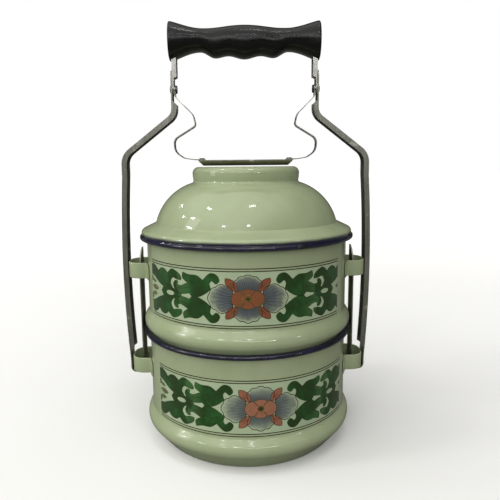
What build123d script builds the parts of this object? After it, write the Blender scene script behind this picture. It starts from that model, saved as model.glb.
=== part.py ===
from build123d import *
import math
import os

# Two-tier enamelled tiffin carrier: two bowls with belt-loop ears, a domed lid, a strip-steel carrying
# frame whose legs hook under the lower ears, and a swing-over spring clamp that holds the lid down.
# Millimetres. +Z is up, the bowls' axis is Z, the ears and legs lie along X, and the front is -Y.
# The origin is on the table, at the centre of the lower bowl's foot.

# ---- enamelled bowls ------------------------------------------------------------------------------
SHEET = 1.2  # pressed steel with both coats of enamel
FOOT_RADIUS = 67.2  # where the flat bottom and the sloping underside would meet
BULGE_RADIUS, BULGE_LOW, BULGE_HIGH = 79.5, 15.0, 22.2  # widest part of the rolled foot
BODY_RADIUS, BODY_START = 75.8, 25.9  # straight wall, and where it starts
BOWL_BENDS = (5.0, 11.5, 5.2, 5.2, 1.0)  # bend radii from the flat bottom up to the rim
RIM_HEIGHT = 85.0  # top of the rolled rim above the bowl's foot
RIM_RADIUS, RIM_DEPTH = 78.2, 3.0  # outside of the rolled rim, and its height
BEAD_ROUNDING = 0.45  # corner radius of a rolled edge, as a share of its smaller side
TIER_PITCH = 75.1  # the upper foot nests this far above the lower one

# ---- ears: a strap bent into a belt loop, its two feet fused to the wall --------------------------
EAR_CENTRE, EAR_HEIGHT = 54.4, 12.0  # above the bowl's foot
EAR_REACH, EAR_HALF_WIDTH, EAR_CORNER = 90.7, 13.7, 10.0
EAR_SHEET = 1.2
EAR_FOOT_ANGLE = 19.0  # how far round the wall each foot reaches, degrees

# ---- lid -------------------------------------------------------------------------------------------
LID_SHEET = 1.1
LID_RIM_RADIUS, LID_RIM_TOP, LID_RIM_DEPTH = 80.9, 156.9, 3.0
SKIRT_RADIUS, SKIRT_TOP, SKIRT_BEND = 79.6, 160.5, 2.6  # the skirt drops over the bowl's rim
LID_STEP = (68.0, 166.9)  # where the sloping shoulder meets the dome
DOME_MIDDLE, DOME_TOP = (60.4, 181.6), (44.2, 193.6)
NECK_BEND, BOSS_RADIUS, BOSS_FOOT, BOSS_TOP, BOSS_CORNER = 1.4, 40.3, 195.0, 206.4, 2.6

# ---- carrying frame ---------------------------------------------------------------------------------
LEG_SHEET, LEG_HALF_WIDTH, LEG_FLANGE = 0.9, 6.0, 3.8
LEG_X, LEG_TOP = 54.2, 276.6  # outside face and top end beside the grip
ELBOW_HEIGHT, ELBOW_RADIUS = 245.3, 8.0
SHOULDER, SHOULDER_RADIUS = (92.5, 215.6), 14.0
SIDE_TOP, SIDE_MIDDLE, SIDE_BOTTOM = (92.6, 200.0), (94.9, 112.0), (92.4, 57.0)
HOOK_BOTTOM, HOOK_RADIUS = 46.2, 4.2  # the hook under the lower ear
FLANGE_TOP, FLANGE_BOTTOM, FLANGE_RUN_OUT = 255.0, 63.0, 6.0
TONGUE_X, TONGUE_TIP, TONGUE_BOW = 80.3, 146.0, 1.6
TONGUE_START, TONGUE_TAPER = 58.0, 126.0  # where the hook ends, and where the tip starts to narrow

STRAP_SHEET, STRAP_HALF_WIDTH, STRAP_FLANGE = 1.2, 4.6, 3.4
STRAP_TOP, STRAP_CORNER, STRAP_FOOT = 298.0, 5.0, 258.4
STRAP_FLANGE_END = 270.0  # flat below this, where the clamp turns

# ---- grip: highest, lowest and widest places along one half, as (distance from the middle, value) --
GRIP_HALF_LENGTH, GRIP_STEPS = 54.9, 12
GRIP_TOP = [(0.0, 307.8), (30.0, 305.4), (64.0, 311.9)]
GRIP_BOTTOM = [(0.0, 284.4), (11.9, 286.7), (21.3, 285.2), (32.3, 289.5), (64.0, 281.0)]
GRIP_HALF_DEPTH = [(0.0, 11.6), (30.0, 10.8), (64.0, 13.4)]

# ---- spring clamp -----------------------------------------------------------------------------------
PIVOT_HEIGHT, PIN_RADIUS = 263.0, 1.6
RUNNING_FIT = 0.05  # radial, between the pin and the spring's eye
SIDE_PLAY = 0.1  # between the eye and what it turns against
SPRING_SHEET, SPRING_HALF_WIDTH, SPRING_END_X = 0.7, 4.0, 30.6
EYE_RADIUS, EYE_HALF_WIDTH, EYE_NECK, NECK_END = 3.2, 2.75, 257.5, 251.0
SPRING_BENDS = [  # x, z and radius of each bend, from the eye down to the bar
    (39.0, 244.6, 8.0),
    (37.3, 237.0, 2.6),
    (53.7, 227.0, 6.0),
    (53.1, 217.4, 8.0),
    (46.3, 212.7, 7.0),
    (38.4, 211.5, 12.0),
]
BAR_BOTTOM, BAR_TOP, BAR_HALF_WIDTH, BAR_SHEET = 207.3, 211.5, 6.5, 0.9
BAR_BOTTOM_HALF, BAR_TOP_HALF = 31.9, 35.7  # the ends slant outwards to the top
BAR_RIVET_X = 33.0

# ---- rivets: shank radius, head radius, head height -------------------------------------------------
PIN_HEAD_RADIUS, PIN_HEAD = 2.9, 1.1
LAP_RIVET_HEIGHT, LAP_RADIUS, LAP_HEAD_RADIUS, LAP_HEAD = 272.7, 1.2, 2.0, 0.6
BAR_RIVET_RADIUS, BAR_RIVET_HEAD_RADIUS, BAR_RIVET_HEAD = 1.2, 2.1, 0.8
HEAD_ROUNDING = 0.8  # of the head's height


def band(line, thickness, side=Side.RIGHT):
    """The face between a line and its copy moved to one side of its direction."""
    return make_face(offset(line, amount=thickness, side=side, closed=True).edges())


def strip(line, thickness, half_width):
    """Sheet that follows a line drawn in the XZ plane and is as wide as given in Y."""
    return extrude(Plane.XZ * band(line, thickness), half_width, both=True)


def plate(outline, x_low, x_high):
    """An outline drawn as (y, z), filled between two x positions."""
    return extrude(Plane.YZ.offset(x_low) * outline, x_high - x_low, dir=(1, 0, 0))


def turned(face):
    """A face drawn as (radius, height), turned round the Z axis."""
    return revolve(Plane.XZ * face, Axis.Z)


def mirrored(shape):
    return mirror(shape, Plane.YZ)


def bead(radius, top, width, depth):
    """The section of a rolled edge, from its outside radius and its top."""
    place = Pos(radius - width / 2, top - depth / 2)
    return place * RectangleRounded(width, depth, min(width, depth) * BEAD_ROUNDING)


def wave(knots, distance):
    """Cosine steps between knots, so that each knot is a crest, a valley or a flat."""
    distance = abs(distance)
    for (start, low), (end, high) in zip(knots, knots[1:]):
        if distance <= end:
            share = (1 - math.cos(math.pi * (distance - start) / (end - start))) / 2
            return low + (high - low) * share
    return knots[-1][1]


def bowl():
    """One tier, standing on Z 0: flat foot, rolled bulge, straight wall and rolled rim."""
    outside = FilletPolyline(
        (0, 0),
        (FOOT_RADIUS, 0),
        (BULGE_RADIUS, BULGE_LOW),
        (BULGE_RADIUS, BULGE_HIGH),
        (BODY_RADIUS, BODY_START),
        (BODY_RADIUS, RIM_HEIGHT - SHEET),
        (RIM_RADIUS - SHEET, RIM_HEIGHT - SHEET),
        radius=BOWL_BENDS,
    )
    rolled_width = RIM_RADIUS - BODY_RADIUS + SHEET / 4
    rolled_edge = bead(RIM_RADIUS, RIM_HEIGHT, rolled_width, RIM_DEPTH)
    return turned(band(outside, SHEET, Side.LEFT) + rolled_edge)


def ear():
    """The right ear of a tier standing on Z 0: a D-shaped loop with a foot each side on the wall."""
    length = EAR_REACH - BODY_RADIUS / 2
    middle = Pos(EAR_REACH - length / 2, 0)
    outside = middle * RectangleRounded(length, 2 * EAR_HALF_WIDTH, EAR_CORNER)
    inside = Pos(-EAR_SHEET, 0) * middle * RectangleRounded(
        length, 2 * (EAR_HALF_WIDTH - EAR_SHEET), EAR_CORNER - EAR_SHEET
    )
    reach = EAR_REACH * math.tan(math.radians(EAR_FOOT_ANGLE))
    sector = make_face(Polyline((0, 0), (EAR_REACH, reach), (EAR_REACH, -reach), close=True))
    feet = Circle(BODY_RADIUS + EAR_SHEET) & sector
    outline = (outside + feet - inside) - Circle(BODY_RADIUS)
    loop = outline.faces().sort_by(Axis.X)[-1]
    return Pos(0, 0, EAR_CENTRE - EAR_HEIGHT / 2) * extrude(loop, EAR_HEIGHT)


def lid():
    """The lid in its place: rolled rim, skirt, sloping shoulder, dome and flat-topped boss."""
    skirt = FilletPolyline(
        (SKIRT_RADIUS, LID_RIM_TOP - LID_RIM_DEPTH / 2),
        (SKIRT_RADIUS, SKIRT_TOP),
        LID_STEP,
        radius=SKIRT_BEND,
    )
    dome = ThreePointArc(LID_STEP, DOME_MIDDLE, DOME_TOP)
    boss = FilletPolyline(
        DOME_TOP,
        (BOSS_RADIUS, BOSS_FOOT),
        (BOSS_RADIUS, BOSS_TOP),
        (0, BOSS_TOP),
        radius=(NECK_BEND, BOSS_CORNER),
    )
    rolled_width = LID_RIM_RADIUS - SKIRT_RADIUS + LID_SHEET
    rolled_edge = bead(LID_RIM_RADIUS, LID_RIM_TOP, rolled_width, LID_RIM_DEPTH)
    return turned(band(skirt + dome + boss, LID_SHEET, Side.LEFT) + rolled_edge)


def round_ended(half_width, low, high):
    """A (y, z) outline of parallel sides with its top end a half circle."""
    top = high - half_width
    sides = Line((half_width, top), (half_width, low)) + Line((half_width, low), (-half_width, low))
    sides += Line((-half_width, low), (-half_width, top))
    return make_face(sides + ThreePointArc((-half_width, top), (0, high), (half_width, top)))


def leg_line():
    """The outside of the right leg, from the lap joint down to the hook and up to the tongue."""
    upper = FilletPolyline(
        (LEG_X, FLANGE_TOP),
        (LEG_X, ELBOW_HEIGHT),
        SHOULDER,
        SIDE_TOP,
        radius=(ELBOW_RADIUS, SHOULDER_RADIUS),
    )
    side = ThreePointArc(SIDE_TOP, SIDE_MIDDLE, SIDE_BOTTOM)
    hook = FilletPolyline(
        SIDE_BOTTOM,
        (SIDE_BOTTOM[0], HOOK_BOTTOM),
        (TONGUE_X, HOOK_BOTTOM),
        (TONGUE_X, TONGUE_START),
        radius=HOOK_RADIUS,
    )
    return upper, side, hook


def tongue():
    """The leg's free end: a bowed strip with a spear point, standing up through both ears."""
    radius = (LEG_HALF_WIDTH**2 + TONGUE_BOW**2) / (2 * TONGUE_BOW)
    centre = TONGUE_X + radius
    ring = Pos(centre, 0) * (Circle(radius) - Circle(radius - LEG_SHEET))
    section = ring & Pos(TONGUE_X, 0) * Rectangle(2 * (TONGUE_BOW + LEG_SHEET), 2 * LEG_HALF_WIDTH)
    stem = Pos(0, 0, TONGUE_START - 1) * extrude(section, TONGUE_TIP - TONGUE_START + 1)
    right, left = (LEG_HALF_WIDTH, TONGUE_TAPER), (-LEG_HALF_WIDTH, TONGUE_TAPER)
    sides = Polyline(right, (LEG_HALF_WIDTH, 0), (-LEG_HALF_WIDTH, 0), left)
    spear = Spline(left, (0, TONGUE_TIP), right, tangents=[(0, 1), (0, -1)])
    point = make_face(sides + spear)
    return stem & plate(point, TONGUE_X, EAR_REACH)


def run_out(web_x, edge_x, end, full):
    """What a channel's flanges lose at one end: a slant from full depth, and all beyond it."""
    beyond = 2 * end - full
    corners = [(web_x, end), (edge_x, full), (edge_x, beyond), (web_x, beyond)]
    return extrude(Plane.XZ * make_face(Polyline(*corners, close=True)), 2 * LEG_HALF_WIDTH, both=True)


def channel_flanges(line, depth, half_width, sheet):
    """The two flanges of a channel whose web follows the line, its full depth included."""
    hollow = strip(line, depth, half_width - sheet)
    return strip(line, depth, half_width) - hollow


def leg():
    """The right leg: a channel folded from strip, flat at the lap joint and at the hook."""
    upper, side, hook = leg_line()
    web = strip(upper + side + hook, LEG_SHEET, LEG_HALF_WIDTH)
    flanges = channel_flanges(upper + side, LEG_FLANGE, LEG_HALF_WIDTH, LEG_SHEET)
    low_x = SIDE_BOTTOM[0] + LEG_SHEET
    flanges -= run_out(LEG_X, LEG_X - 2 * LEG_FLANGE, FLANGE_TOP, FLANGE_TOP - FLANGE_RUN_OUT)
    flanges -= run_out(low_x, low_x - 2 * LEG_FLANGE, FLANGE_BOTTOM, FLANGE_BOTTOM + FLANGE_RUN_OUT)
    lap = plate(round_ended(LEG_HALF_WIDTH, FLANGE_TOP - 1, LEG_TOP), LEG_X - LEG_SHEET, LEG_X)
    return web + flanges + lap + tongue() - rivet_holes()


def rivet_holes():
    """The pivot's and the lap rivet's holes through the right leg and strap."""
    low = LEG_X - LEG_SHEET - STRAP_SHEET
    pin = plate(Pos(0, PIVOT_HEIGHT) * Circle(PIN_RADIUS), low, LEG_X)
    return [pin, plate(Pos(0, LAP_RIVET_HEIGHT) * Circle(LAP_RADIUS), low, LEG_X)]


def handle_strap():
    """The handle's core: a channel bent over inside the grip, with a flat foot each side."""
    outer = LEG_X - LEG_SHEET
    line = FilletPolyline(
        (-outer, STRAP_FLANGE_END - 1),
        (-outer, STRAP_TOP),
        (outer, STRAP_TOP),
        (outer, STRAP_FLANGE_END - 1),
        radius=STRAP_CORNER,
    )
    cut = run_out(outer, outer - 2 * STRAP_FLANGE, STRAP_FLANGE_END, STRAP_FLANGE_END + STRAP_FLANGE)
    flanges = channel_flanges(line, STRAP_FLANGE, STRAP_HALF_WIDTH, STRAP_SHEET / 2) - cut - mirrored(cut)
    outline = Rot(180, 0, 0) * round_ended(STRAP_HALF_WIDTH, -STRAP_FLANGE_END, -STRAP_FOOT)
    foot = plate(outline, outer - STRAP_SHEET, outer) - rivet_holes()
    web = strip(line, STRAP_SHEET, STRAP_HALF_WIDTH)
    for hole in rivet_holes():
        web = web - hole - mirrored(hole)
        flanges = flanges - hole - mirrored(hole)
    return web + flanges + foot + mirrored(foot)


def grip():
    """The moulded grip: four finger hollows below, flared ends, closed round the strap."""
    sections = []
    for step in range(-GRIP_STEPS, GRIP_STEPS + 1):
        x = GRIP_HALF_LENGTH * step / GRIP_STEPS
        top, bottom = wave(GRIP_TOP, x), wave(GRIP_BOTTOM, x)
        oval = Ellipse(wave(GRIP_HALF_DEPTH, x), (top - bottom) / 2)
        sections.append(Plane.YZ.offset(x) * Pos(0, (top + bottom) / 2) * oval)
    body = loft(sections)
    outer = LEG_X - LEG_SHEET
    slot_height = STRAP_TOP - PIVOT_HEIGHT
    for side in (1, -1):
        slot = Pos(side * (outer - STRAP_FLANGE / 2), 0, STRAP_TOP - slot_height / 2)
        body -= slot * Box(STRAP_FLANGE, 2 * STRAP_HALF_WIDTH, slot_height)
    core = Pos(0, 0, STRAP_TOP - STRAP_FLANGE / 2)
    return body - core * Box(2 * outer, 2 * STRAP_HALF_WIDTH, STRAP_FLANGE)


def spring():
    """The right spring: an eye at the pivot, an S-bend, and a flat end that lies on the bar."""
    outer = LEG_X - LEG_SHEET - STRAP_SHEET - SIDE_PLAY
    corners = [(outer, PIVOT_HEIGHT + EYE_RADIUS), (outer, EYE_NECK)]
    corners += [(x, z) for x, z, radius in SPRING_BENDS] + [(SPRING_END_X, BAR_TOP)]
    radii = [4.0] + [radius for x, z, radius in SPRING_BENDS]
    line = FilletPolyline(*corners, radius=radii)
    ribbon = strip(line, SPRING_SHEET, SPRING_HALF_WIDTH)
    eye = [(EYE_HALF_WIDTH, PIVOT_HEIGHT), (EYE_HALF_WIDTH, EYE_NECK), (SPRING_HALF_WIDTH, NECK_END)]
    eye += [(SPRING_HALF_WIDTH, BAR_BOTTOM)]
    outline = make_face(Polyline(*eye, *[(-y, z) for y, z in reversed(eye)], close=True))
    outline += Pos(0, PIVOT_HEIGHT) * Circle(EYE_RADIUS)
    ribbon &= plate(outline, 0, LEG_X)
    ribbon -= plate(Pos(0, PIVOT_HEIGHT) * Circle(PIN_RADIUS + RUNNING_FIT), outer - EYE_RADIUS, outer)
    return ribbon - Pos(BAR_RIVET_X, 0, BAR_TOP) * Cylinder(BAR_RIVET_RADIUS, 4 * SPRING_SHEET)


def clamp_bar():
    """The bar on the boss: strip rolled into a D, its round side down, cut slanting at the ends."""
    depth = BAR_TOP - BAR_SHEET - BAR_BOTTOM
    radius = (BAR_HALF_WIDTH**2 + depth**2) / (2 * depth)
    centre = Pos(0, BAR_BOTTOM + radius)
    box = Pos(0, BAR_BOTTOM + depth / 2) * Rectangle(2 * BAR_HALF_WIDTH + 2, depth)
    trough = (centre * Circle(radius)) & box
    hollow = (centre * Circle(radius - BAR_SHEET)) & box
    web = Pos(0, BAR_TOP - BAR_SHEET / 2) * Rectangle(2 * BAR_HALF_WIDTH, BAR_SHEET)
    tube = plate(trough - hollow + web, -BAR_TOP_HALF, BAR_TOP_HALF)
    slope = (BAR_TOP_HALF - BAR_BOTTOM_HALF) / (BAR_TOP - BAR_BOTTOM)
    side = [(BAR_BOTTOM_HALF - slope, BAR_BOTTOM - 1), (BAR_TOP_HALF + slope, BAR_TOP + 1)]
    keep = make_face(Polyline(*side, *[(-x, z) for x, z in reversed(side)], close=True))
    bar = tube & extrude(Plane.XZ * keep, BAR_HALF_WIDTH + 1, both=True)
    for x in (-BAR_RIVET_X, BAR_RIVET_X):
        bar -= Pos(x, 0, BAR_TOP) * Cylinder(BAR_RIVET_RADIUS, 4 * BAR_SHEET)
    return bar


def rivet(start, end, shank, head_radius, head):
    """A rivet along X: a flat head below start, a shank, and a rounded head above end."""
    flat = plate(Circle(head_radius), start - head, start)
    button = plate(Circle(head_radius), end, end + head)
    button = fillet(button.edges().sort_by(Axis.X)[-1], head * HEAD_ROUNDING)
    return plate(Circle(shank), start - head, end + head) + flat + button


def pivot_pin():
    """Joins leg and strap; the spring's eye turns on it, kept by the flat inner head."""
    inner = LEG_X - LEG_SHEET - STRAP_SHEET - SPRING_SHEET - 2 * SIDE_PLAY
    return Pos(0, 0, PIVOT_HEIGHT) * rivet(inner, LEG_X, PIN_RADIUS, PIN_HEAD_RADIUS, PIN_HEAD)


def lap_rivet():
    """Stops the leg turning on the strap."""
    inner = LEG_X - LEG_SHEET - STRAP_SHEET
    return Pos(0, 0, LAP_RIVET_HEIGHT) * rivet(inner, LEG_X, LAP_RADIUS, LAP_HEAD_RADIUS, LAP_HEAD)


def bar_rivet():
    """Holds the spring's lower end on the bar's top."""
    under, over = BAR_TOP - BAR_SHEET, BAR_TOP + SPRING_SHEET
    upright = Rot(0, -90, 0) * rivet(under, over, BAR_RIVET_RADIUS, BAR_RIVET_HEAD_RADIUS, BAR_RIVET_HEAD)
    return Pos(BAR_RIVET_X, 0, 0) * upright


def pair(shape):
    """The right-hand piece and its mirror image, as separate solids."""
    return Compound(children=[*shape.solids(), *mirrored(shape).solids()])


def main():
    os.makedirs("parts", exist_ok=True)
    raised = Pos(0, 0, TIER_PITCH)
    one_bowl, right_ear, right_leg, right_spring = bowl(), ear(), leg(), spring()
    parts = {
        "lower_bowl": one_bowl,
        "upper_bowl": raised * one_bowl,
        "lower_right_ear": right_ear,
        "lower_left_ear": mirrored(right_ear),
        "upper_right_ear": raised * right_ear,
        "upper_left_ear": mirrored(raised * right_ear),
        "lid": lid(),
        "right_leg": right_leg,
        "left_leg": mirrored(right_leg),
        "handle_strap": handle_strap(),
        "handle_grip": grip(),
        "right_pivot_pin": pivot_pin(),
        "left_pivot_pin": mirrored(pivot_pin()),
        "lap_rivets": pair(lap_rivet()),
        "right_spring": right_spring,
        "left_spring": mirrored(right_spring),
        "clamp_bar": clamp_bar(),
        "bar_rivets": pair(bar_rivet()),
    }
    for name, shape in parts.items():
        export_step(shape, f"parts/{name}.step")


main()
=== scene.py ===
"""Looks for the enamelled tiffin carrier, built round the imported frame, which is in metres."""
import math

import bmesh
import bpy
from mathutils import Matrix, Vector
from mathutils.geometry import tessellate_polygon


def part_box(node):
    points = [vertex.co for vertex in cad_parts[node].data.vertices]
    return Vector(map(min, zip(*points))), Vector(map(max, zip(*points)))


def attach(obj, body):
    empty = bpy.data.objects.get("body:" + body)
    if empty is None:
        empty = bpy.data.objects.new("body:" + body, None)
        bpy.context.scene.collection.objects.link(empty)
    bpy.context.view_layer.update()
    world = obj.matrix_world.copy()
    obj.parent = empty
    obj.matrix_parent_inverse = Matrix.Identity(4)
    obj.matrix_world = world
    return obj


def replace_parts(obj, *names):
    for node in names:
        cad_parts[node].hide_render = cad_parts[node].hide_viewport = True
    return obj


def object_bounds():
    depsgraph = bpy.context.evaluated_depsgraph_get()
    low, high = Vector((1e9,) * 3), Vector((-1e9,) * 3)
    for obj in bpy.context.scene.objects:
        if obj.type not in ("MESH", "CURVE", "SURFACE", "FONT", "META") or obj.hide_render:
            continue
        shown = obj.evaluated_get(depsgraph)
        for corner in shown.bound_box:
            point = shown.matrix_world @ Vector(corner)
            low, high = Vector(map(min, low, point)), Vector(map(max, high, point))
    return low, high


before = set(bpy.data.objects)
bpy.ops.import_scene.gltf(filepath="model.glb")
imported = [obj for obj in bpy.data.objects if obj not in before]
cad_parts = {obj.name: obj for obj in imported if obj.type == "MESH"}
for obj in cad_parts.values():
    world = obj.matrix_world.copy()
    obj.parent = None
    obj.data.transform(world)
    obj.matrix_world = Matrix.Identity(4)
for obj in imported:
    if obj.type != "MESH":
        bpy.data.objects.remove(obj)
FRAME_LOW, FRAME_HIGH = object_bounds()
MM = 0.001

# ---- shapes shared by several pieces, in millimetres like all the pieces' own sizes ----
SHEET = 1.2
WALL = 75.8  # outside radius of a bowl's straight wall
LID_SHEET = 1.1
RIM_DEPTH = 3.0  # of every rolled edge
TURNS = 256  # segments of a turned piece
ON_AXIS = 0.01  # a point of an outline nearer the axis than this is on it
BEND_STEP = math.radians(7)  # turn between the points of a bend
STRAIGHT = math.radians(1)  # a corner that turns less than this gets no bend


def corner_of(node, high=False):
    """The lowest or highest corner of a CAD node, in millimetres."""
    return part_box(node)[1 if high else 0] / MM


LOWER_FOOT = corner_of("lower_bowl").z
UPPER_FOOT = corner_of("upper_bowl").z
RIM_RADIUS = corner_of("lower_bowl", high=True).x
RIM_HEIGHT = corner_of("lower_bowl", high=True).z - LOWER_FOOT
LID_RIM_RADIUS = corner_of("lid", high=True).x
LID_RIM_LOW = corner_of("lid").z
LID_TOP = corner_of("lid", high=True).z
EAR_REACH = corner_of("lower_right_ear", high=True).x
TIERS = (("lower", "base", LOWER_FOOT), ("upper", "upper_tier", UPPER_FOOT))  # tier, body, foot's height


# ---- drawing in the plane ----
def rounded(corners, step=BEND_STEP):
    """A line through (x, y, bend radius) corners, each bend drawn as an arc."""
    points = [Vector(corners[0][:2])]
    for before, here, after in zip(corners, corners[1:], corners[2:]):
        place, radius = Vector(here[:2]), here[2] if len(here) > 2 else 0
        back = (Vector(before[:2]) - place).normalized()
        ahead = (Vector(after[:2]) - place).normalized()
        opening = back.angle(ahead)
        if radius == 0 or math.pi - opening < STRAIGHT:
            points.append(place)
            continue
        centre = place + (back + ahead).normalized() * (radius / math.sin(opening / 2))
        start = place + back * (radius / math.tan(opening / 2))
        turn = math.pi - opening
        if back.x * ahead.y - back.y * ahead.x > 0:
            turn = -turn
        count = max(2, math.ceil(abs(turn) / step))
        for i in range(count + 1):
            points.append(centre + Matrix.Rotation(turn * i / count, 2) @ (start - centre))
    points.append(Vector(corners[-1][:2]))
    return points


def arc(start, end, rise, count):
    """A round arc from start to end, bulging by rise to the left of that direction, or right if negative."""
    start, end = Vector(start), Vector(end)
    half = (end - start).length / 2
    radius = (half * half + rise * rise) / (2 * rise)
    along = (end - start).normalized()
    centre = (start + end) / 2 + Vector((-along.y, along.x)) * (rise - radius)
    sweep = -4 * math.atan(rise / half)
    turns = [Matrix.Rotation(sweep * i / count, 2) for i in range(count + 1)]
    return [centre + turn @ (start - centre) for turn in turns]


def through(points, steps=6):
    """A smooth open curve through given points."""
    points = [Vector(p) for p in points]
    ends = [2 * points[0] - points[1]] + points + [2 * points[-1] - points[-2]]
    curve = [points[0]]
    for a, b, c, d in zip(ends, ends[1:], ends[2:], ends[3:]):
        for i in range(1, steps + 1):
            t = i / steps
            pull = (c - a) * t + (2 * a - 5 * b + 4 * c - d) * t**2 + (3 * b - a - 3 * c + d) * t**3
            curve.append(b + pull / 2)
    return curve


def offset(points, distance):
    """A copy of an open line, moved to the left of its direction."""
    moved = []
    for i, point in enumerate(points):
        before, after = points[max(i - 1, 0)], points[min(i + 1, len(points) - 1)]
        along = (after - before).normalized()
        moved.append(point + Vector((-along.y, along.x)) * distance)
    return moved


# ---- meshes ----
def add_piece(mesh, body):
    """A finished mesh as a piece of the same name that rides a body."""
    piece = bpy.data.objects.new(mesh.name, mesh)
    bpy.context.scene.collection.objects.link(piece)
    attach(piece, body)
    return piece


def stand_in(node, mesh, body, sharp=38):
    """A mesh, smooth up to the sharp angle in degrees, as the piece that replaces a CAD node."""
    for face in mesh.polygons:
        face.use_smooth = True
    mesh.set_sharp_from_angle(angle=math.radians(sharp))
    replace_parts(add_piece(mesh, body), node)


def mesh_of(name, points, faces, material):
    """A mesh in metres from points in millimetres."""
    mesh = bpy.data.meshes.new(name)
    mesh.from_pydata([Vector(p) * MM for p in points], [], faces)
    mesh.materials.append(material)
    mesh.update()
    return mesh


def turned(name, profile, lift, material, shade):
    """A closed (radius, height) outline turned round Z. shade(radius, height) goes to the attribute navy."""
    rings = [(max(p.x, 0.0), p.y + lift) for p in profile]
    points, faces, starts, sizes = [], [], [], []
    for radius, height in rings:
        starts.append(len(points))
        sizes.append(1 if radius < ON_AXIS else TURNS)
        for i in range(sizes[-1]):
            angle = 2 * math.pi * i / TURNS
            points.append((radius * math.cos(angle), radius * math.sin(angle), height))
    count = len(rings)
    for ring in range(count):
        after = (ring + 1) % count
        for i in range(TURNS):
            j = (i + 1) % TURNS
            corners = []
            for which, k in ((ring, i), (ring, j), (after, j), (after, i)):
                corner = starts[which] + (k if sizes[which] > 1 else 0)
                if corner not in corners:
                    corners.append(corner)
            if len(corners) > 2:
                faces.append(corners)
    mesh = mesh_of(name, points, faces, material)
    values = []
    for (radius, height), size in zip(rings, sizes):
        values += [shade(radius, height - lift)] * size
    mesh.attributes.new("navy", "FLOAT", "POINT").data.foreach_set("value", values)
    return mesh


def swept(name, stations, section, material):
    """A closed section carried through stations, each a place and the section's two scaled directions."""
    points = [place + across * x + upward * y for place, across, upward in stations for x, y in section]
    faces, size = [], len(section)
    for i in range(len(stations) - 1):
        for j in range(size):
            k = (j + 1) % size
            faces.append((i * size + j, i * size + k, (i + 1) * size + k, (i + 1) * size + j))
    faces.append(tuple(reversed(range(size))))
    faces.append(tuple(range(len(points) - size, len(points))))
    return mesh_of(name, points, faces, material)


# ---- colours and shader nodes ----
def screen(red, green, blue):
    """A colour given as 0 to 255 screen values, in the linear values that a shader takes."""
    values = []
    for value in (red, green, blue):
        value /= 255
        values.append(value / 12.92 if value <= 0.04045 else ((value + 0.055) / 1.055) ** 2.4)
    return (*values, 1.0)


GLASS_IOR = 1.52
PLASTIC_GLOSS = 0.3  # its specular level


class Material:
    """A material and short calls that add nodes to it."""

    def __init__(self, name):
        self.material = bpy.data.materials.new(name)
        self.material.use_nodes = True
        self.tree = self.material.node_tree
        self.shader = self.tree.nodes["Principled BSDF"]
        self.place = self.node("ShaderNodeTexCoord").outputs["Object"]

    def put(self, socket, value):
        if isinstance(value, bpy.types.NodeSocket):
            self.tree.links.new(value, socket)
        else:
            socket.default_value = value

    def node(self, kind, inputs=None, **settings):
        made = self.tree.nodes.new(kind)
        for name, value in settings.items():
            setattr(made, name, value)
        for name, value in (inputs or {}).items():
            self.put(made.inputs[name], value)
        return made

    def noise(self, scale, detail=3.0, roughness=0.5, stretch=None):
        vector = self.place
        if stretch:
            vector = self.node("ShaderNodeMapping", {"Vector": vector, "Scale": stretch}).outputs[0]
        inputs = {"Vector": vector, "Scale": scale, "Detail": detail, "Roughness": roughness}
        return self.node("ShaderNodeTexNoise", inputs).outputs["Fac"]

    def range(self, value, low, high, to_low=0.0, to_high=1.0):
        inputs = {"Value": value, "From Min": low, "From Max": high, "To Min": to_low, "To Max": to_high}
        return self.node("ShaderNodeMapRange", inputs).outputs["Result"]

    def math(self, operation, a, b=0.0):
        return self.node("ShaderNodeMath", {0: a, 1: b}, operation=operation).outputs[0]

    def length(self, vector):
        return self.node("ShaderNodeVectorMath", {0: vector}, operation="LENGTH").outputs["Value"]

    def parts(self, vector):
        """The X, Y and Z of a vector."""
        return self.node("ShaderNodeSeparateXYZ", {"Vector": vector}).outputs

    def mix(self, share, a, b):
        """The colour a, turning into b as the share goes from 0 to 1."""
        made = self.node("ShaderNodeMix", data_type="RGBA")
        for index, value in ((0, share), (6, a), (7, b)):
            self.put(made.inputs[index], value)
        return made.outputs[2]

    def ramp(self, value, stops):
        made = self.node("ShaderNodeValToRGB", {"Fac": value})
        elements = made.color_ramp.elements
        while len(elements) < len(stops):
            elements.new(0.5)
        for element, (position, colour) in zip(elements, stops):
            element.position, element.color = position, colour
        return made.outputs["Color"]

    def printed_place(self):
        """Where a point is on the flat drawing of the band, in centimetres."""
        return self.node("ShaderNodeUVMap", uv_map="print").outputs["UV"]

    def attribute(self, name):
        return self.node("ShaderNodeAttribute", attribute_name=name).outputs["Fac"]

    def bump(self, height, strength, distance, before=None):
        """A bump of a distance in millimetres, on top of the one before."""
        inputs = {"Height": height, "Strength": strength, "Distance": distance * MM}
        if before:
            inputs["Normal"] = before
        return self.node("ShaderNodeBump", inputs).outputs["Normal"]

    def set(self, **values):
        """Sets the shader's own sockets, named with _ for each space."""
        for name, value in values.items():
            self.put(self.shader.inputs[name.replace("_", " ")], value)


def enamel_surface(made, colour):
    """Fired glass: a wavy, glossy skin over a colour. Shared by the plain enamel and the printed band."""
    skin = made.bump(made.noise(22, detail=2), strength=0.3, distance=0.2)
    skin = made.bump(made.noise(115, detail=1), strength=0.4, distance=0.08, before=skin)
    skin = made.bump(made.noise(330, detail=2), strength=0.14, distance=0.06, before=skin)
    gloss = made.range(made.noise(140, detail=4), 0.3, 0.75, 0.05, 0.14)
    made.set(Base_Color=colour, Roughness=gloss, Normal=skin, IOR=GLASS_IOR)
    return made.material


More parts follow.
